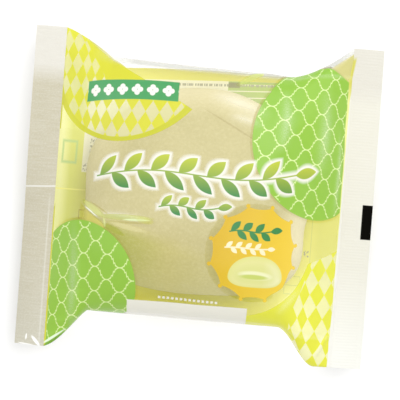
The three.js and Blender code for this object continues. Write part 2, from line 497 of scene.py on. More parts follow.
def add_bun(material):
    """A low round bun with a soft shoulder, a creased and uneven crust, and a flat base."""
    random = np.random.default_rng(BUN_SEED)
    turn = bun_turns()[:, None]
    spoke = np.linspace(0, 2 * math.pi, BUN_SPOKES, endpoint=False)[None, :]
    near = np.sin(spoke) < 0
    power = np.where(near, BUN_NEAR_SQUARENESS, BUN_SQUARENESS)
    squared = (np.abs(np.cos(spoke)) ** power + np.abs(np.sin(spoke)) ** power) ** (-1 / power)
    uneven = np.zeros_like(spoke)
    for waves in BUN_WAVES:
        height = random.uniform(*BUN_WAVE_HEIGHT)
        uneven += height * np.sin(waves * spoke + random.uniform(0, 2 * math.pi))
    for dent, spread, depth in BUN_DENTS:
        from_dent = (np.degrees(spoke) - dent + 180) % 360 - 180
        uneven -= depth * np.exp(-((from_dent / spread) ** 2))
    out = squared * np.cos(turn) ** BUN_ROUNDNESS
    x = BUN_CENTRE[0] + (BUN_RADII[0] + uneven) * out * np.cos(spoke)
    across = np.where(near, BUN_NEAR_RADIUS, BUN_RADII[1])
    y = BUN_CENTRE[1] + (across + uneven) * out * np.sin(spoke)
    rise = np.where(turn < 0, BUN_SHOULDER, BUN_HEIGHT - BUN_SHOULDER)
    place = np.stack([x, y], 2)
    relief = sum(crease.height * ridge(place, crease) for crease in BUN_CREASES)
    relief += slack(place, seed=8, height=0.3)
    z = BUN_BASE + BUN_SHOULDER + rise * np.sin(turn) + relief * np.maximum(np.sin(turn), 0)
    rings = np.stack([x, y, z], 2).reshape(-1, 3)
    poles = [(*BUN_CENTRE, z[0].mean()), (*BUN_CENTRE, z[-1].mean())]
    faces = grid_faces(BUN_RINGS - 1, BUN_SPOKES, closed=True)
    last = len(rings) - BUN_SPOKES
    for j in range(BUN_SPOKES):
        k = (j + 1) % BUN_SPOKES
        faces.append((len(rings), k, j))
        faces.append((len(rings) + 1, last + j, last + k))
    return add_piece("bun", np.concatenate([rings, poles]), faces, material)


# Node helpers


class Field:
    """A number in a material's node tree. Arithmetic with it adds nodes to the tree."""

    def __init__(self, tree, socket):
        self.tree = tree
        self.socket = socket

    def math(self, operation, *others, clamp=False):
        node = self.tree.nodes.new("ShaderNodeMath")
        node.operation = operation
        node.use_clamp = clamp
        for place, value in zip(node.inputs, (self, *others)):
            put(self.tree, place, value)
        return Field(self.tree, node.outputs[0])

    def __add__(self, other):
        return self.math("ADD", other)

    def __sub__(self, other):
        return self.math("SUBTRACT", other)

    def __mul__(self, other):
        return self.math("MULTIPLY", other)

    def __truediv__(self, other):
        return self.math("DIVIDE", other)

    def __pow__(self, power):
        return self.math("POWER", power)

    def __neg__(self):
        return self.math("MULTIPLY", -1.0)

    def __abs__(self):
        return self.math("ABSOLUTE")

    def inverse(self):
        """One less this field."""
        return self.math("MULTIPLY_ADD", -1.0, 1.0)

    def both(self, other):
        return self.math("MINIMUM", other)

    def either(self, other):
        return self.math("MAXIMUM", other)

    def above(self, limit=0.0, soft=0.15):
        """1 where the field is over a limit, 0 where it is under it, with an edge this soft."""
        return self.math("MULTIPLY_ADD", 1 / soft, 0.5 - limit / soft, clamp=True)

    def below(self, limit=0.0, soft=0.15):
        return self.math("MULTIPLY_ADD", -1 / soft, 0.5 + limit / soft, clamp=True)

    def within(self, low, high, soft=0.15):
        """1 where the field is between two limits."""
        return abs(self - (low + high) / 2).below((high - low) / 2, soft)

    def bend(self, start, lean):
        """0 up to a start, and past it a share of the distance from it."""
        return (self - start).either(0.0) * lean


def put(tree, place, value):
    """Gives an input a field, or a plain value."""
    if isinstance(value, Field):
        tree.links.new(value.socket, place)
    elif isinstance(value, bpy.types.NodeSocket):
        tree.links.new(value, place)
    else:
        place.default_value = value


def linear(red, green, blue):
    """A colour read from the photograph, 0 to 255, as the shader's linear one."""
    parts = [c / 255 for c in (red, green, blue)]
    return (*(p / 12.92 if p <= 0.04045 else ((p + 0.055) / 1.055) ** 2.4 for p in parts), 1.0)


class Surface:
    """A new material: its tree, its shader and the film's own coordinates."""

    def __init__(self, name):
        self.material = bpy.data.materials.new(name)
        self.material.use_nodes = True
        self.tree = self.material.node_tree
        self.shader = self.tree.nodes["Principled BSDF"]

    def add(self, kind, inputs, **settings):
        """The outputs of a new node with these settings, and these inputs by name or number."""
        node = self.tree.nodes.new("ShaderNode" + kind)
        for name, value in settings.items():
            setattr(node, name, value)
        for place, value in inputs.items():
            put(self.tree, node.inputs[place], value)
        return node.outputs

    def film(self):
        """The film's own coordinates as one vector and as two numbers."""
        self.place = self.add("UVMap", {}, uv_map=FILM_MAP)[0]
        self.u, self.v = self.split(self.place)

    def split(self, place):
        """A vector's first two numbers."""
        outputs = self.add("SeparateXYZ", {0: place})
        return Field(self.tree, outputs[0]), Field(self.tree, outputs[1])

    def distance(self, centre):
        outputs = self.add("VectorMath", {0: self.place, 1: (*centre, 0)}, operation="DISTANCE")
        return Field(self.tree, outputs["Value"])

    def noise(self, scale, detail, vector, roughness=0.5):
        inputs = {"Scale": scale, "Detail": detail, "Vector": vector, "Roughness": roughness}
        return Field(self.tree, self.add("TexNoise", inputs)["Fac"])

    def object_place(self):
        return self.add("TexCoord", {})["Object"]

    def mix(self, below, above, share):
        """A colour of two, each a plain colour or a socket."""
        return self.add("Mix", {6: below, 7: above, 0: share}, data_type="RGBA")[2]

    def blend(self, below, above, share):
        """A number between two, each a plain number or a field."""
        return Field(self.tree, self.add("Mix", {2: below, 3: above, 0: share})[0])

    def layer(self, name):
        """A number kept at the mesh's points."""
        return Field(self.tree, self.add("Attribute", {}, attribute_name=name)["Fac"])

    def slope(self, across, up):
        """How far a point lies along a direction in the film's own coordinates."""
        return self.u * across + self.v * up

    def past(self, edge):
        """How far a point lies past a straight edge."""
        across, up, place = edge
        return self.slope(across, up) - place

    def outside(self, disc):
        """How far a point lies outside a disc."""
        centre, radius = disc
        return self.distance(centre) - radius

    def track(self, start, end):
        """How far a point lies along and beside the line from start to end, and the line's length."""
        run = np.subtract(end, start)
        length = float(np.hypot(*run))
        across, up = (float(part) for part in run / length)
        along = self.slope(across, up) - (start[0] * across + start[1] * up)
        beside = self.slope(-up, across) - (start[1] * across - start[0] * up)
        return along, beside, length

    def box(self, left, right, low, high, soft=0.3):
        return self.u.within(left, right, soft).both(self.v.within(low, high, soft))

    def frame(self, left, right, low, high, line):
        """The outline of a box."""
        inner = self.box(left + line, right - line, low + line, high - line, line)
        return self.box(left, right, low, high, line).both(inner.inverse())

    def stretched(self, across, up):
        """The film's own coordinates as a vector, scaled unevenly."""
        return self.add("CombineXYZ", {0: self.u * across, 1: self.v * up})[0]

    def bump(self, height, strength, distance):
        inputs = {"Height": height, "Strength": strength, "Distance": distance}
        put(self.tree, self.shader.inputs["Normal"], self.add("Bump", inputs)[0])

    def set(self, **values):
        names = {"colour": "Base Color", "roughness": "Roughness", "alpha": "Alpha"}
        names["shine"] = "Specular IOR Level"
        for key, value in values.items():
            put(self.tree, self.shader.inputs[names[key]], value)


# The print's colours
LIME = linear(205, 204, 52)
# Lit copies of the lime and its pale tint, for painted light
LIT_LIME = linear(219, 220, 62)
RIM_LIME = linear(190, 191, 40)
PALE_LIME = linear(213, 212, 160)
LIT_PALE_LIME = linear(229, 229, 184)
STRIP_LIME = linear(208, 204, 96)
STRIP_PALE = linear(232, 234, 152)
GREEN = linear(138, 186, 62)
LATTICE_LINE = linear(210, 230, 156)
PLATE_GREEN = linear(64, 152, 90)
ORANGE = linear(205, 168, 16)
LIGHT_ORANGE = linear(230, 198, 62)
CREAM = linear(217, 215, 146)
SLICE_RIM = linear(211, 213, 124)
SLICE_LIGHT = linear(236, 236, 202)
FILLING = linear(190, 202, 104)
WHITE_INK = linear(232, 231, 224)
BOX_WHITE = linear(229, 227, 216)
PANEL_WHITE = linear(240, 238, 206)
LEAF_TOP = linear(192, 200, 52)
LEAF_FOOT = linear(42, 126, 66)
PALE_LEAF = linear(240, 226, 188)
HAZE = linear(250, 249, 240)
# Painted shade: the highlights' greyer colour on the left
SHADED_SHEEN = linear(196, 202, 178)
# Painted reflection: the grey of film seen edge-on where it turns down the long sides
SIDE_REFLECTION_GREY = linear(186, 187, 176)
GROUND = linear(240, 237, 114)
PALE_GROUND = linear(242, 240, 130)
SHADED_GROUND = linear(216, 219, 106)
SEAL_GROUND = linear(238, 240, 172)
SHADED_NEAR_GROUND = linear(207, 202, 70)
FAR_GROUND = linear(229, 226, 106)
BLOCK_GREEN = linear(182, 203, 112)
INK_SHADOW = linear(122, 116, 36)
DASHES = linear(176, 174, 140)
DARK_BLOCK = linear(150, 150, 104)
# Painted shade beside the pinched fold
FOLD_SHADE = linear(204, 196, 98)
CORNER_TAN = linear(196, 189, 130)
FAINT_TEAL = linear(180, 208, 130)
FAINT_BROWN = linear(188, 170, 72)
FAINT_RULE = linear(218, 222, 120)

# How far ink hides what is behind it
SOLID_INK = 0.96
SMALL_INK = 0.9  # of small print
HALO_INK = 0.85
DASH_INK = 0.8
TINT_INK = 0.6  # of a pale tint
TAN_INK = 0.45

CRISP = 0.3  # how soft a printed edge is
SHADOW = 0.22  # how dark the shadow of the print on the bun is

# Places of the print on the front panel, in the film's own coordinates: u along and v across. A disc is
# a centre and a radius. A box is its left, right, near and far sides. An edge is a direction, and how
# far along it the edge lies. A bend is a start, and how much an edge leans past it.
TURNED_SIDES = 58  # past this, the film turns down the two long sides
TURNED_FROM = -42
TAN_CORNER = (57, 54)
TAN_EDGE = (-0.467, 1, 34.2)
RIGHT_STRIP = 71.9
STRIP_BEND = (57, 0.25)
RIGHT_STRIP_LIME = 51  # the strip is pale up to here
LEFT_STRIP = -73.2
STRIP_GAP = (-9, 26)
SEAL_EDGE = (1, -0.02, 72.6)  # where the right seal's white starts
SEAL_BEND = (48, 0.14)
WINDOW = ((12.3, -10.9), 43.2)  # the lime corner lies outside this disc
CORNER_EDGE = (-0.32, 1, -42.5)
CORNER_START = 24
CORNER_SQUEEZE = (55, 0.55)  # left of this its diamonds come closer together, by this share
CORNER_DIAMONDS = {"middle": (60.3, -39.1), "wide": 4.65, "high": 5.45}
PALE_EDGE = (1, -0.4, 65)
PALE_START = 45.2
TOP_DISC = ((-39.7, 65.6), 44)
TOP_DISC_INNER = ((-39.4, 61.7), 38.2)
FIELD_EDGE = (0.57, 1, 34.4)
FIELD_LIT_SIDE = -56  # painted light: the field is lighter left of this
RIM_EDGE = (1, 0.8, -6.8)
RIM_START = 44
FIELD_PUSH = (-60, 14, 2.4)  # its diamonds are pushed along: where, how far round it, how much
FIELD_DIAMONDS = {"middle": (-44.6, 30.3), "wide": 3.1, "high": 5}
WEDGE_EDGE = (0.5, 0.866, -33.5)
WEDGE_SPAN = (-53, -41.2)
WEDGE_FOOT = -24
RIGHT_DISC = ((55.5, 28), 34.4)
DISC_STRETCH = (48, 0.35)  # its far left side reaches further out
DISC_STRETCH_END = 50
DISC_CUT = (0.405, 0.914, 80.3)
LEFT_DISC = ((-54, -43.2), 29.5)
LEFT_DISC_START = -73
SHADOW_END = 70.5
RIGHT_TRELLIS = {"wide": 6.5, "high": 5.6, "turn": math.radians(-4), "shift": (-0.17, -0.77)}
LEFT_TRELLIS = {"wide": 6.3, "high": 5.65, "turn": math.radians(2), "shift": (-1.88, -3.71)}
TRELLIS_LINE = 0.24
TRELLIS_MARGIN = 0.5
PLATE = (-34, 44)
PLATE_SIZE = (44, 9.3)
PLATE_TILT = 0.057
PLATE_ARCH = 1
ROSETTES = {"pitch": 7, "reach": 1.4, "petal": 1.25}
DATE_BOX = (-28.2, 24.6, -80, -47.9)
DASH_ROW = (0.03, 1, -45.8)
DASH_HEIGHT = 1.2
DASH_SPAN = (-15, 11.8)
DASH_PITCH = 1.9
DASH_GAP = 0.8
BADGE = (26.9, -22.7)
BADGE_FORM = {"tips": 12, "valley": 19.3, "tip": 20.9, "dot_place": 21.2, "dot": 0.9}
FIRST_POINT = math.radians(14.7)
BLUNT_POINT = math.radians(-45.3)  # the badge has no point here
DRAWN_SIDE = math.radians(-2)  # and is narrower on this side
DRAWN_IN = 2.8
BADGE_LIGHT = (1, -0.4, 35)
BADGE_SHADOW = ((25.9, -22.7), 20)
BADGE_SHADOW_END = 26
SLICE = {"centre": (27.1, -33), "wide": 12.3, "high": 9.4, "foot": 4.5}
SLICE_INSIDE = {"centre": (27, -32.7), "wide": 9.4, "high": 5.4, "foot": 3.2}
SLICE_SQUARENESS = (2.2, 3.5)  # superellipse exponents of its outline, over the centre and under it
SLICE_LIGHT_SIDE = 34.5
SLICE_CREAM = ((18.6, -31.7), (35.4, -32.4), 2.2)
SLICE_FILLING = ((19, -32.7), (33.6, -32.9), 1.3)

# Twigs: where each starts and ends, its leaves' length and half their width, how many pairs there are,
# how far the twig sways, and how wide a halo it has
BADGE_TWIG = ((14, -13.6), (32.6, -12.6), 5.8, 1.45, 3, 0.5, 0.6)
PALE_TWIG = ((12.5, -20.5), (31.5, -20.3), 3.8, 0.95, 4, 0.2, 0.5)
MAIN_TWIG = ((-47, 6), (43, 12.6), 11, 2.4, 7, 2.2, 1.5)
SMALL_TWIG = ((-17, -5.3), (8.6, -4.2), 6.4, 1.55, 3, 0.8, 1)
MAIN_SHADE = (10.5, 18)  # where the leaves turn from green to lime, and over what length
SMALL_SHADE = (-2.6, 10)

# Painted highlights, reflections and shade where the film is pinched or turned: where each streak starts
# and ends, half its width, its colour and its strength
FOLD_LIGHT_AND_SHADE = (
    ((-54.5, -4.8), (-40.5, -11.8), 1.6, linear(206, 214, 130), 0.55),
    ((-50, -5.2), (-39.6, -10), 0.4, linear(176, 166, 92), 0.35),
    ((-44.5, -11.3), (-18.5, -10.9), 1.4, linear(196, 206, 120), 0.55),
    ((-33, -12), (-19.5, -11.6), 0.6, linear(224, 238, 184), 0.85),
    ((-27, -11), (-18.5, -12.4), 1.5, linear(190, 194, 76), 0.35),
    ((-40.5, -13.3), (-22, -13.1), 0.5, linear(170, 160, 84), 0.25),
    ((-41.7, -11.4), (-40.7, -16.2), 0.65, linear(212, 218, 142), 0.7),
    ((-52.4, -7.4), (-44.4, -11.8), 0.4, linear(244, 246, 232), 0.9),
    ((-42.4, -14.4), (-31, -18.8), 1.4, linear(156, 164, 52), 0.6),
    ((-40.2, -13.4), (-20, -17), 1.3, linear(222, 214, 164), 0.4),
    ((-77, -73), (-58, -64.6), 1.3, linear(112, 156, 52), 0.9),
    ((-77, -71.2), (-58.5, -62.9), 0.75, linear(228, 244, 216), 0.95),
    ((12.5, 50.5), (24.5, 61.5), 2, linear(196, 208, 122), 0.5),
)


class Print(Surface):
    """Film with ink laid on it layer on layer: the colour so far, and how far it covers the film."""

    cover = 0

    def lay(self, ink, mask, cover=SOLID_INK):
        """Ink under a mask, in place of what covered the film there."""
        covered = self.blend(self.cover, cover, mask)
        self.colour = self.mix(self.colour, ink, mask * cover / covered)
        self.cover = covered

    def tint(self, ink, mask, strength):
        """A thin veil over whatever is there."""
        self.lay(ink, mask * strength, 1)


# Shapes of the print


def lens(s, start, end, half):
    """A slim lens from start to end, softer towards its edge."""
    along, beside, length = s.track(start, end)
    along = along * (2 / length) - 1
    beside = beside * (1 / half)
    return (along * along + beside * beside).below(0.7, 0.6)


def diamonds(u, v, middle, wide, high):
    """A harlequin pattern: 1 in every second diamond, and 0 in the one round the middle."""
    across = (u - middle[0]).math("PINGPONG", wide) * (1 / wide)
    up = (v - middle[1]).math("PINGPONG", high) * (1 / high)
    return (across + up).above(1, 0.06)


ARC_POWER = 2.3  # how round the trellis's arcs are
STAIR_TURN = 42  # how close together its small steps are
STAIR_HEIGHT = 0.06
STAIR_SLOPE = 2.5


def trellis(s, wide, high, turn, shift):
    """The lines of ogee cells: round arcs that meet level at the nodes, with small steps half-way."""
    turned_u = s.slope(math.cos(turn), math.sin(turn)) - shift[0]
    turned_v = s.slope(-math.sin(turn), math.cos(turn)) - shift[1]
    past = turned_u.math("PINGPONG", wide) * (1 / wide) - 0.5
    up = turned_v.math("PINGPONG", high)
    middle = abs(past).math("MULTIPLY_ADD", -2, 1)
    arc = (middle**ARC_POWER).math("MULTIPLY_ADD", -0.5, 0.5) * past.math("SIGN") + 0.5
    stepped = middle.above(0.68, 0.3)
    stairs = arc + (past * STAIR_TURN).math("SINE") * stepped * STAIR_HEIGHT
    arc_slope = middle ** (ARC_POWER - 1) * ARC_POWER
    slope = (arc_slope + (past * STAIR_TURN).math("COSINE") * stepped * STAIR_SLOPE) * (high / wide)
    run = (slope * slope + 1).math("SQRT")
    return (abs(stairs * high - up) / run).below(TRELLIS_LINE, 0.2)


def sunburst(s, centre, tips, valley, tip, dot_place, dot):
    """A round badge with hollow edges between dotted points, one point missing and one side drawn in."""
    away = s.distance(centre)
    right = (s.u - centre[0]) / away
    up = (s.v - centre[1]) / away
    blunt = (right * math.cos(BLUNT_POINT) + up * math.sin(BLUNT_POINT)).above(0.96, 0.03)
    drawn = right * math.cos(DRAWN_SIDE) + up * math.sin(DRAWN_SIDE)
    away = away + drawn.above(0.86, 0.28) * DRAWN_IN
    fold = (up.math("ARCTAN2", right) - FIRST_POINT).math("PINGPONG", math.pi / tips)
    point = (fold * (tips / math.pi)).inverse() ** 2.2 * blunt.inverse()
    star = (away - point * (tip - valley)).below(valley, CRISP)
    along = away * fold.math("COSINE") - dot_place
    side = away * fold.math("SINE")
    dots = (along * along + side * side).math("SQRT").below(dot, CRISP)
    return star.either(dots.both(blunt.inverse()))


def dome(s, centre, wide, high, foot):
    """How far out a point is in a round dome on a squarer foot: 0 at its middle, 1 on its edge."""
    squareness = s.blend(*SLICE_SQUARENESS, s.v.below(centre[1], 2))
    across = abs((s.u - centre[0]) * (1 / wide)) ** squareness
    up = ((s.v - centre[1]) * (1 / high)).either((s.v - centre[1]) * (-1 / foot))
    return across + up * up


def rosettes(along, across, pitch, reach, petal):
    """A row of four-petalled rosettes."""
    near = (along + pitch / 2).math("PINGPONG", pitch / 2)
    up = abs(across)
    level = (near - reach) * (near - reach) + up * up
    upright = near * near + (up - reach) * (up - reach)
    return level.both(upright).below(petal**2, 0.8)


LEAF_LEAN = math.radians(42)
LEAF_START = 0.14  # where a leaf starts, as a share of the way to the next one
HALF_STEM = 0.3


def sprig(s, start, end, leaf, wide, pairs, sway, halo):
    """A twig from start to end, with a leaf at its tip: its mask, and that of a soft halo round it."""
    along, beside, length = s.track(start, end)
    pitch = length / (pairs + 0.5)
    side = beside - (along * (2 * math.pi / length)).math("SINE") * sway
    stagger = along - side.below(0, 0.01) * (pitch / 2)
    place = stagger.math("MODULO", pitch) - pitch * LEAF_START
    out = abs(side)
    forth = place * math.cos(LEAF_LEAN) + out * math.sin(LEAF_LEAN) - leaf / 2
    off = abs(out * math.cos(LEAF_LEAN) - place * math.sin(LEAF_LEAN))
    leafy = stagger.within(0, pairs * pitch, 0.05)
    twiggy = abs(along - length / 2) - length / 2

    def blade(forth, off, more, soft):
        half = forth * (1 / (leaf / 2 + more))
        return ((half * half).inverse() * (wide + more) - off).above(0, soft)

    def grown(more, soft):
        stem = out.below(HALF_STEM + more, soft).both(twiggy.below(more, soft))
        tip = blade(along - length - leaf * 0.45, out, more, soft)
        return blade(forth, off, more, soft).both(leafy).either(tip).either(stem)

    return grown(0, 0.25), grown(halo, 1.8)


# What is printed on the front panel, from the lowest layer to the highest


def past_seal(s):
    """How far a point lies past the edge of the right seal's white."""
    return s.past(SEAL_EDGE) - s.v.bend(*SEAL_BEND)


def lay_ends(s):
    """A tan corner, lime strips along the two seals, and the right one's white."""
    tan = s.u.above(TAN_CORNER[0]).both(s.v.above(TAN_CORNER[1]))
    s.lay(CORNER_TAN, tan.both(s.past(TAN_EDGE).below(0, 0.6)), TAN_INK)
    strip = (s.u - s.v.bend(*STRIP_BEND)).above(RIGHT_STRIP)
    s.lay(s.mix(STRIP_PALE, STRIP_LIME, s.v.above(RIGHT_STRIP_LIME, 8)), strip)
    ends = s.v.below(STRIP_GAP[0], 4).either(s.v.above(STRIP_GAP[1]))
    s.lay(LIME, s.u.below(LEFT_STRIP).both(ends))
    s.lay(WHITE_INK, past_seal(s).above())


def lay_corner(s):
    """The lime corner with its harlequin, in lit copies of the lime and its pale tint as painted light.
    """
    corner = s.outside(WINDOW).above(0, CRISP).both(s.past(CORNER_EDGE).below(0, CRISP))
    corner = corner.both(s.u.above(CORNER_START)).both(past_seal(s).below())
    s.lay(LIT_LIME, corner)
    start, share = CORNER_SQUEEZE
    squeezed = s.u + (s.u - start).both(0) * share
    pale = diamonds(squeezed, s.v, **CORNER_DIAMONDS)
    pale = pale.both(s.past(PALE_EDGE).above(0, CRISP)).both(s.u.above(PALE_START, CRISP))
    s.lay(LIT_PALE_LIME, corner.both(pale), TINT_INK)


def lay_field(s):
    """The lime field with its harlequin, with painted light on its left."""
    field = s.outside(TOP_DISC).below(0, CRISP).both(s.past(FIELD_EDGE).below(0, CRISP))
    inner = s.outside(TOP_DISC_INNER).below(0, CRISP)
    # Painted light: the field is lighter on its left
    lime = s.mix(s.mix(RIM_LIME, LIME, inner), LIT_LIME, s.u.below(FIELD_LIT_SIDE, 20) * 0.6)
    s.lay(lime, field)
    inner = inner.both(s.past(RIM_EDGE).below(0, CRISP).either(s.v.below(RIM_START)))
    place, reach, shift = FIELD_PUSH
    pushed = s.u - abs(s.u - place).below(reach / 2, reach) * shift
    s.lay(PALE_LIME, field.both(inner).both(diamonds(pushed, s.v, **FIELD_DIAMONDS)), TINT_INK)


def lay_wedge_shade(s):
    """Painted shade: a dim tint over the ground seen beside the pinched fold."""
    wedge = s.past(WEDGE_EDGE).below(0, 0.8).both(s.v.above(WEDGE_FOOT))
    wedge = wedge.both(s.u.above(WEDGE_SPAN[0], 5)).both(s.u.below(WEDGE_SPAN[1], 1.2))
    s.tint(FOLD_SHADE, wedge, 0.75)


def lay_discs(s):
    """Two green discs with a trellis, over their soft shadow on the bun."""
    (middle_u, middle_v), radius = RIGHT_DISC
    along = s.u - middle_u
    across = s.v - s.v.bend(*DISC_STRETCH) * s.u.below(DISC_STRETCH_END, 10) - middle_v
    right_out = (along * along + across * across).math("SQRT") - radius
    right_out = right_out.either(s.past(DISC_CUT))
    (corner_u, corner_v), _ = LEFT_DISC
    left_out = s.outside(LEFT_DISC).both((s.u - corner_u).either(s.v - corner_v))
    shadow = right_out.both(left_out).below(0.2, 1.8).both(s.u.within(-SHADOW_END, SHADOW_END, 1))
    s.tint(INK_SHADOW, shadow, SHADOW)
    right_disc = right_out.below(0, CRISP).both(s.u.below(RIGHT_STRIP, CRISP))
    left_disc = left_out.below(0, CRISP).both(s.u.above(LEFT_DISC_START))
    s.lay(GREEN, right_disc.either(left_disc))
    for disc, out, cells in ((right_disc, right_out, RIGHT_TRELLIS), (left_disc, left_out, LEFT_TRELLIS)):
        lines = trellis(s, **cells).both(out.below(-TRELLIS_MARGIN, CRISP))
        s.lay(LATTICE_LINE, disc.both(lines))


def lay_plate(s):
    """The arched green plate with a row of rosettes."""
    half_long, half_high = PLATE_SIZE[0] / 2, PLATE_SIZE[1] / 2
    along = s.u - PLATE[0]
    level = s.v - PLATE[1] - along * PLATE_TILT - PLATE_ARCH
    across = level + along * along * (PLATE_ARCH / half_long**2)
    plate = along.within(-half_long, half_long, CRISP).both(across.within(-half_high, half_high, CRISP))
    s.lay(PLATE_GREEN, plate)
    s.lay(WHITE_INK, plate.both(rosettes(along, across, **ROSETTES)))


def lay_box(s):
    """The white box, and a row of plain dashes over it."""
    s.lay(BOX_WHITE, s.box(*DATE_BOX))
    row = s.past(DASH_ROW).within(-DASH_HEIGHT / 2, DASH_HEIGHT / 2, CRISP).both(s.u.within(*DASH_SPAN))
    along = s.u - sum(DASH_SPAN) / 2
    s.lay(WHITE_INK, row.both(along.math("PINGPONG", DASH_PITCH / 2).above(DASH_GAP / 2, 0.25)), DASH_INK)


def lay_badge(s):
    """The sunny badge with a sliced bun, a green twig and a pale one."""
    shadow = s.outside(BADGE_SHADOW).below(0, 3.4) * s.u.below(BADGE_SHADOW_END, 20)
    s.tint(INK_SHADOW, shadow, SHADOW)
    badge = sunburst(s, BADGE, **BADGE_FORM)
    s.lay(s.mix(ORANGE, LIGHT_ORANGE, s.past(BADGE_LIGHT).above(0, 40)), badge)
    slice_out = dome(s, **SLICE)
    crumb = s.mix(CREAM, SLICE_LIGHT, s.u.above(SLICE_LIGHT_SIDE, 9) * 0.6)
    s.lay(s.mix(crumb, SLICE_RIM, slice_out.above(0.8, 0.5) * 0.8), slice_out.below(1, 0.05))
    s.tint(FILLING, dome(s, **SLICE_INSIDE).below(1, 0.9), 0.22)
    s.tint(SLICE_LIGHT, lens(s, *SLICE_CREAM), 0.65)
    s.lay(FILLING, lens(s, *SLICE_FILLING))
    for twig, colour in ((BADGE_TWIG, LEAF_FOOT), (PALE_TWIG, PALE_LEAF)):
        leaves, _ = sprig(s, *twig)
        s.lay(colour, leaves)


def lay_twigs(s):
    """A leafy twig across the middle and a small one under it, with a soft white halo."""
    leaves, halo = sprig(s, *MAIN_TWIG)
    small_leaves, small_halo = sprig(s, *SMALL_TWIG)
    s.lay(WHITE_INK, halo.either(small_halo), HALO_INK)
    s.lay(s.mix(LEAF_FOOT, LEAF_TOP, s.v.above(*MAIN_SHADE)), leaves)
    s.lay(s.mix(LEAF_FOOT, LEAF_TOP, s.v.above(*SMALL_SHADE)), small_leaves)


def front_material():
    s = Print("printed_film")
    s.film()
    # Painted reflection: grey film where it turns down the long sides
    turned = abs(s.v).above(TURNED_SIDES, 3) * s.u.above(TURNED_FROM, 16)
    s.colour = s.mix(HAZE, SIDE_REFLECTION_GREY, turned)
    lay_ends(s)
    lay_corner(s)
    lay_field(s)
    lay_wedge_shade(s)
    lay_discs(s)
    lay_plate(s)
    lay_box(s)
    lay_badge(s)
    lay_twigs(s)
    # The painted highlights, reflections and shade of the pinched folds
    for start, end, half, colour, strength in FOLD_LIGHT_AND_SHADE:
        s.tint(colour, lens(s, start, end, half), strength)
    # Painted highlights: along the folds the film is mixed towards a whitish sheen with a fine grain,
    # greyer on the left as painted shade
    haze = s.layer(HAZE_AND_SHEEN_LAYER)
    glint_grain = s.noise(2.4, 2, s.stretched(1, 0.6))
    white = (haze - CLEAR_HAZE) * glint_grain.above(0.45, 0.5) * turned.inverse() * 1.2
    sheen_colour = s.mix(SHADED_SHEEN, HAZE, s.u.above(-30, 20))
    s.set(colour=s.mix(s.colour, sheen_colour, white), alpha=s.blend(haze, 1, s.cover))
    s.set(roughness=0.24, shine=0.36)
    s.bump(s.noise(1.6, 3, s.place), strength=0.3, distance=0.00006)
    return s.material


# Places of the print on the back panel, in its own film coordinates
GROUND_EDGE = (-0.1, 1, 3)
GROUND_REACH = 58  # how far out the ground goes, on both sides
GROUND_FLARE = (38, 0.9)
BARE_START = 55  # one corner has no ground
BARE_EDGE = (-0.51, 1, 30.8)
INFO_TILT = -0.06
INFO_PANEL = (-58.6, 44, 7.5, 60)
INFO_BLOCK = (9.5, 46, 40, 60)
INFO_TOP = 53.9
BLOCK_RULE = 49
BLOCK_PITCH = 3.2
INFO_DASHES = (51.2, 52.4)
INFO_DASH_SPAN = (-40, 40)
DARK_SPAN = (9.6, 14.8)
DARK_RISE = (50.6, 53.4)
SMALL_PRINT = ((-54.8, -50.2, 13, 23), (-58.2, -54.6, 8.2, 11.4), (52.5, 55.4, -23.6, -20.6))
LONG_RULE = (56.1, 56.5, -28, -5)
RULED_BOX = (43, 51.5, -41, -32.5)
BOX_RULE = (43, 51.5, -37, -36.65)
EMPTY_BOX = (-71.5, -62, 11, 21.5)
LITTLE_BOX = (-58.6, -54.4, -13.6, -9.5)
FIN_LINE = (-0.85, -0.35)
FIN_LINE_END = -50


def lay_ground(s):
    """The back panel's lime ground, with its tones in turn, some of them painted shade."""
    ground = s.mix(GROUND, PALE_GROUND, s.noise(0.03, 2, s.place))
    for tone, share in (
        (SHADED_GROUND, s.u.below(-55, 14).both(s.u.above(-71, 8))),
        (SEAL_GROUND, s.u.below(-68.5, 6) * 0.8),
        # painted shade on the near side, under the bun
        (SHADED_NEAR_GROUND, s.v.below(-42, 10) * s.u.below(36, 40)),
        (FAR_GROUND, s.v.above(52, 4)),
        (SHADED_GROUND, s.u.above(58, 6).both(s.v.above(-36, 6)) * 0.5),
    ):
        ground = s.mix(ground, tone, share)
    reach = s.past(GROUND_EDGE).either(-s.v) - abs(s.u).bend(*GROUND_FLARE)
    bare = s.u.above(BARE_START, 4).both(s.past(BARE_EDGE).above(0, 0.5))
    s.lay(ground, reach.below(GROUND_REACH, 0.4).both(bare.inverse()))


def lay_info(s):
    """A white panel with a green block, and dashes and specks where small print would be."""
    level = s.slope(INFO_TILT, 1)
    top = level.below(INFO_TOP, CRISP)
    s.lay(PANEL_WHITE, s.box(*INFO_PANEL).both(top))
    block = s.box(*INFO_BLOCK).both(top)
    s.lay(BLOCK_GREEN, block)
    rules = (level - BLOCK_RULE).math("PINGPONG", BLOCK_PITCH / 2).below(0.25, 0.2)
    s.lay(PANEL_WHITE, block.both(rules))
    dashes = s.noise(0.9, 1, s.stretched(1, 0)).above(0.47, 0.05)
    dashes = dashes.both(level.within(*INFO_DASHES, CRISP))
    s.lay(DASHES, dashes.both(s.u.within(*INFO_DASH_SPAN)), SMALL_INK)
    s.lay(DARK_BLOCK, s.u.within(*DARK_SPAN, 0.4).both(level.within(*DARK_RISE, 0.4)))
    specks = s.noise(1.1, 2, s.place).above(0.54, 0.06)
    boxes = [s.box(*place) for place in SMALL_PRINT]
    s.lay(DASHES, specks.both(boxes[0].either(boxes[1]).either(boxes[2])), SMALL_INK)


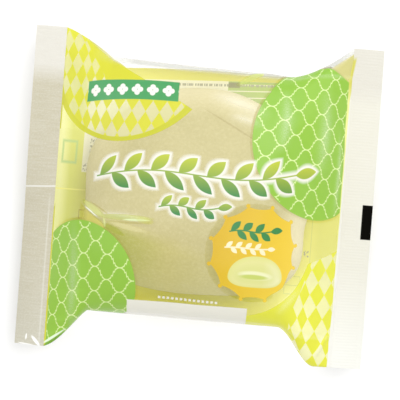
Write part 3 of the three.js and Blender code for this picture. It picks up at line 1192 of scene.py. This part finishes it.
def back_material():
    s = Print("lime_film")
    s.film()
    s.colour = HAZE
    lay_ground(s)
    lay_info(s)
    s.lay(FAINT_RULE, s.box(*LONG_RULE, 0.2))
    s.lay(PALE_GROUND, s.box(*RULED_BOX))
    s.lay(FAINT_RULE, s.frame(*RULED_BOX, 0.35).either(s.box(*BOX_RULE, 0.2)))
    s.lay(FAINT_TEAL, s.frame(*EMPTY_BOX, 1))
    s.lay(FAINT_BROWN, s.frame(*LITTLE_BOX, 0.35))
    s.lay(PALE_GROUND, s.v.within(*FIN_LINE, CRISP).both(s.u.below(FIN_LINE_END)))
    s.set(colour=s.colour, alpha=s.blend(s.layer(HAZE_AND_SHEEN_LAYER), 1, s.cover), roughness=0.3)
    return s.material


# The sealed bands: the milky film's colours at the near end, in the middle and at the far end. These are
# painted light and shade: the left band darker, as in shade, with a painted reflection at its far end,
# and the right band lighter towards its near end.
LEFT_MILK_LIT_AND_SHADED = (linear(198, 194, 175), linear(196, 190, 166), linear(221, 218, 208))
RIGHT_MILK_LIT = (linear(238, 238, 230), linear(225, 223, 209), linear(217, 214, 202))
FIN_MILK = (linear(236, 234, 190),) * 3
MILK = 0.88  # how far the pressed film hides what is behind it
SEAM_TILT = -0.07  # the fin seam's root, which shows through the left band, with a painted highlight along it
SEAM_ROOT = (4.4, 5)
# A painted highlight along a crease in the left band
CREASE_HIGHLIGHT = (-66.9, -66.3)
CREASE_END = -8
LIME_CORNER = (1, -0.15, SEAL_INNER - 8.7)
LIME_CORNER_END = 67
EYE_MARK = (73.3, 80, -13.5, 2)
EYE_MARK_BLACK = linear(14, 13, 10)
SEAL_GLINT = linear(250, 250, 246)
# Painted highlights on curls at the near end of the left band: where each starts and ends, and half its
# width
SEAL_GLINTS = (
    ((-72.6, -66.4), (-72.8, -69.6), 0.45),
    ((-70.6, -67), (-65.8, -72), 0.9),
    ((-77, -71), (-68, -71.6), 0.4),
)


def milky(s, near, middle, far):
    """Milky film's colour along a sealed band, with faint streaks and mottle."""
    colour = s.mix(middle, far, s.v.above(50, 9))
    colour = s.mix(colour, near, s.v.below(-46, 40))
    streaks = s.noise(1, 3, s.stretched(0.1, 1.4))
    colour = s.mix(colour, WHITE_INK, streaks.above(0.6, 0.4) * 0.22)
    mottle = s.noise(1.4, 3, s.place)
    return s.mix(colour, WHITE_INK, mottle.above(0.56, 0.2) * 0.2)


def left_seal_material():
    s = Surface("milky_seal_left")
    s.film()
    colour = milky(s, *LEFT_MILK_LIT_AND_SHADED)
    root = s.slope(SEAM_TILT, 1).within(*SEAM_ROOT, CRISP)
    crease = s.u.within(*CREASE_HIGHLIGHT, 0.5).both(s.v.below(CREASE_END, 12)) * 0.45
    # Painted highlight lines along the seam's root and the crease
    colour = s.mix(colour, WHITE_INK, root.either(crease))
    for start, end, half in SEAL_GLINTS:
        colour = s.mix(colour, SEAL_GLINT, lens(s, start, end, half))
    s.set(colour=colour, alpha=MILK, roughness=0.35, shine=0.2)
    return s.material


def right_seal_material():
    s = Surface("milky_seal_right")
    s.film()
    colour = milky(s, *RIGHT_MILK_LIT)
    corner = s.past(LIME_CORNER).below(0, 0.4).both(s.v.below(LIME_CORNER_END, 2))
    colour = s.mix(colour, STRIP_LIME, corner)
    mark = s.box(*EYE_MARK, 0.15)
    s.set(colour=s.mix(colour, EYE_MARK_BLACK, mark), alpha=s.blend(MILK, 1, mark))
    s.set(roughness=s.blend(0.35, 0.6, mark), shine=s.blend(0.2, 0, mark))
    return s.material


def fin_material():
    s = Surface("fin_film")
    s.film()
    s.set(colour=milky(s, *FIN_MILK), alpha=MILK, roughness=0.35)
    return s.material


# The crust's colours
CRUST = linear(179, 169, 110)
LIGHT_CRUST = linear(197, 187, 131)
# Painted light (the rims and the near side) and painted shade (the near left, tinted green by light from
# the film, and the crease)
LIT_CRUST_RIM = linear(219, 208, 157)
LIT_RIGHT_RIM = linear(238, 228, 188)
SHADED_CRUST = linear(186, 177, 104)
GREEN_SHADED_CRUST = linear(164, 166, 66)
LIT_NEAR_CRUST = linear(212, 204, 124)
CREASE_SHADE = linear(160, 144, 84)
DARK_PORE = linear(158, 148, 88)
LIGHT_PORE = linear(220, 212, 168)
PALE_SPOT = linear(212, 204, 160)


def bun_material():
    """Pale crust, with painted light round its far and right rim and on its near side, painted shade
    towards the near left, tinted green by light from the film, and a painted dark crease.
    """
    s = Surface("pale_crust")
    place = s.object_place()
    s.u, s.v = (part * (1 / MM) for part in s.split(place))
    across = (s.u - BUN_CENTRE[0]) * (1 / BUN_RADII[0])
    up = (s.v - BUN_CENTRE[1]) * (1 / BUN_RADII[1])
    rim = (across * across + up * up).above(0.72, 0.4) * s.slope(0.5, 0.87).above(-8, 60)
    near_left_shade = s.slope(-0.247, -0.968).above(23, 6) * s.u.below(12, 60)
    crease = lens(s, BUN_CREASES[0].start, BUN_CREASES[0].end, 0.45)
    pores = s.noise(800, 4, place, 0.65)
    colour = s.mix(CRUST, LIGHT_CRUST, s.noise(26, 4, place).above(0.5, 0.6))
    # Painted light on the rim, the right side and the near side; painted shade towards the near left and
    # in the top crease
    for tone, share in (
        (LIT_CRUST_RIM, rim),
        (LIT_RIGHT_RIM, s.u.above(41, 10) * 0.75),
        (s.mix(SHADED_CRUST, GREEN_SHADED_CRUST, s.u.below(-24, 24)), near_left_shade),
        (LIT_NEAR_CRUST, s.v.below(-36, 14) * 0.6),
        (CREASE_SHADE, crease * 0.5),
        (DARK_PORE, pores.below(0.46, 0.3) * 0.14),
        (LIGHT_PORE, pores.above(0.6, 0.25) * 0.16),
        (PALE_SPOT, s.noise(160, 3, place).above(0.66, 0.16) * 0.12),
    ):
        colour = s.mix(colour, tone, share)
    s.set(colour=colour, roughness=0.62)
    s.bump(s.noise(700, 4, place), strength=0.3, distance=0.0004)
    return s.material


FLOOR_TONES = ((0.88, 0.88, 0.88, 1), (0.9, 0.9, 0.9, 1))
FLOOR_REACH = 3.0  # metres from the middle to each side


def floor_material():
    s = Surface("pale_floor")
    tone = s.noise(3.0, 2.0, s.object_place())
    s.set(colour=s.mix(*FLOOR_TONES, tone), roughness=0.6)
    return s.material


# The stage


def add_floor():
    mesh = bpy.data.meshes.new("floor")
    corners = [(x * FLOOR_REACH, y * FLOOR_REACH, 0) for x, y in ((-1, -1), (1, -1), (1, 1), (-1, 1))]
    mesh.from_pydata(corners, [], [(0, 1, 2, 3)])
    mesh.materials.append(floor_material())
    floor = add_object("floor", mesh)


def add_light(name, place, size, watts):
    """A square softbox that faces the middle of the pack."""
    lamp = bpy.data.lights.new(name, "AREA")
    lamp.size = size
    lamp.energy = watts
    holder = add_object(name, lamp)
    holder.location = place
    direction = np.array(place) / np.linalg.norm(place)
    tilt = math.acos(direction[2])
    turn = math.atan2(direction[1], direction[0]) + math.pi / 2
    holder.rotation_euler = (tilt, 0, turn)


def add_sky(strength):
    world = bpy.data.worlds.new("studio")
    world.use_nodes = True
    background = world.node_tree.nodes["Background"].inputs
    background["Color"].default_value = (1, 1, 1, 1)
    background["Strength"].default_value = strength
    bpy.context.scene.world = world


PIXEL = 0.444  # millimetres of the pack in one pixel of the photograph
PHOTO_SIDE = 400
PHOTO_TURN = math.radians(4.3)  # how far the pack lies turned in the photograph
VIEW_OFFSET = (0.53, -1.18)  # where the camera's axis meets the pack
VIEW_LEVEL = 20  # height over the floor at which that scale holds
LENS = 135


def add_camera():
    camera = bpy.data.cameras.new("camera")
    camera.lens = LENS
    holder = add_object("camera", camera)
    distance = PHOTO_SIDE * PIXEL * LENS / camera.sensor_width
    holder.location = (VIEW_OFFSET[0] * MM, VIEW_OFFSET[1] * MM, (VIEW_LEVEL + distance) * MM)
    holder.rotation_euler = (0, 0, PHOTO_TURN)
    bpy.context.scene.camera = holder


add_camera()
bpy.context.scene.view_settings.view_transform = "Standard"
add_sky(strength=0.72)
add_light("top", place=(0.15, 0.2, 1.1), size=1.2, watts=6.2)
add_light("key", place=(0.5, 0.5, 0.6), size=0.8, watts=2.2)
add_light("fill", place=(-0.6, 0.1, 0.5), size=0.6, watts=1.0)
add_floor()

add_bun(bun_material())
add_panel("film_back", False, back_height, back_haze, back_material())
add_panel("film_front", True, front_height, front_haze_and_sheen, front_material())
add_seal("seal_left", -1, left_seal_material())
add_seal("seal_right", 1, right_seal_material())
add_fin(fin_material())
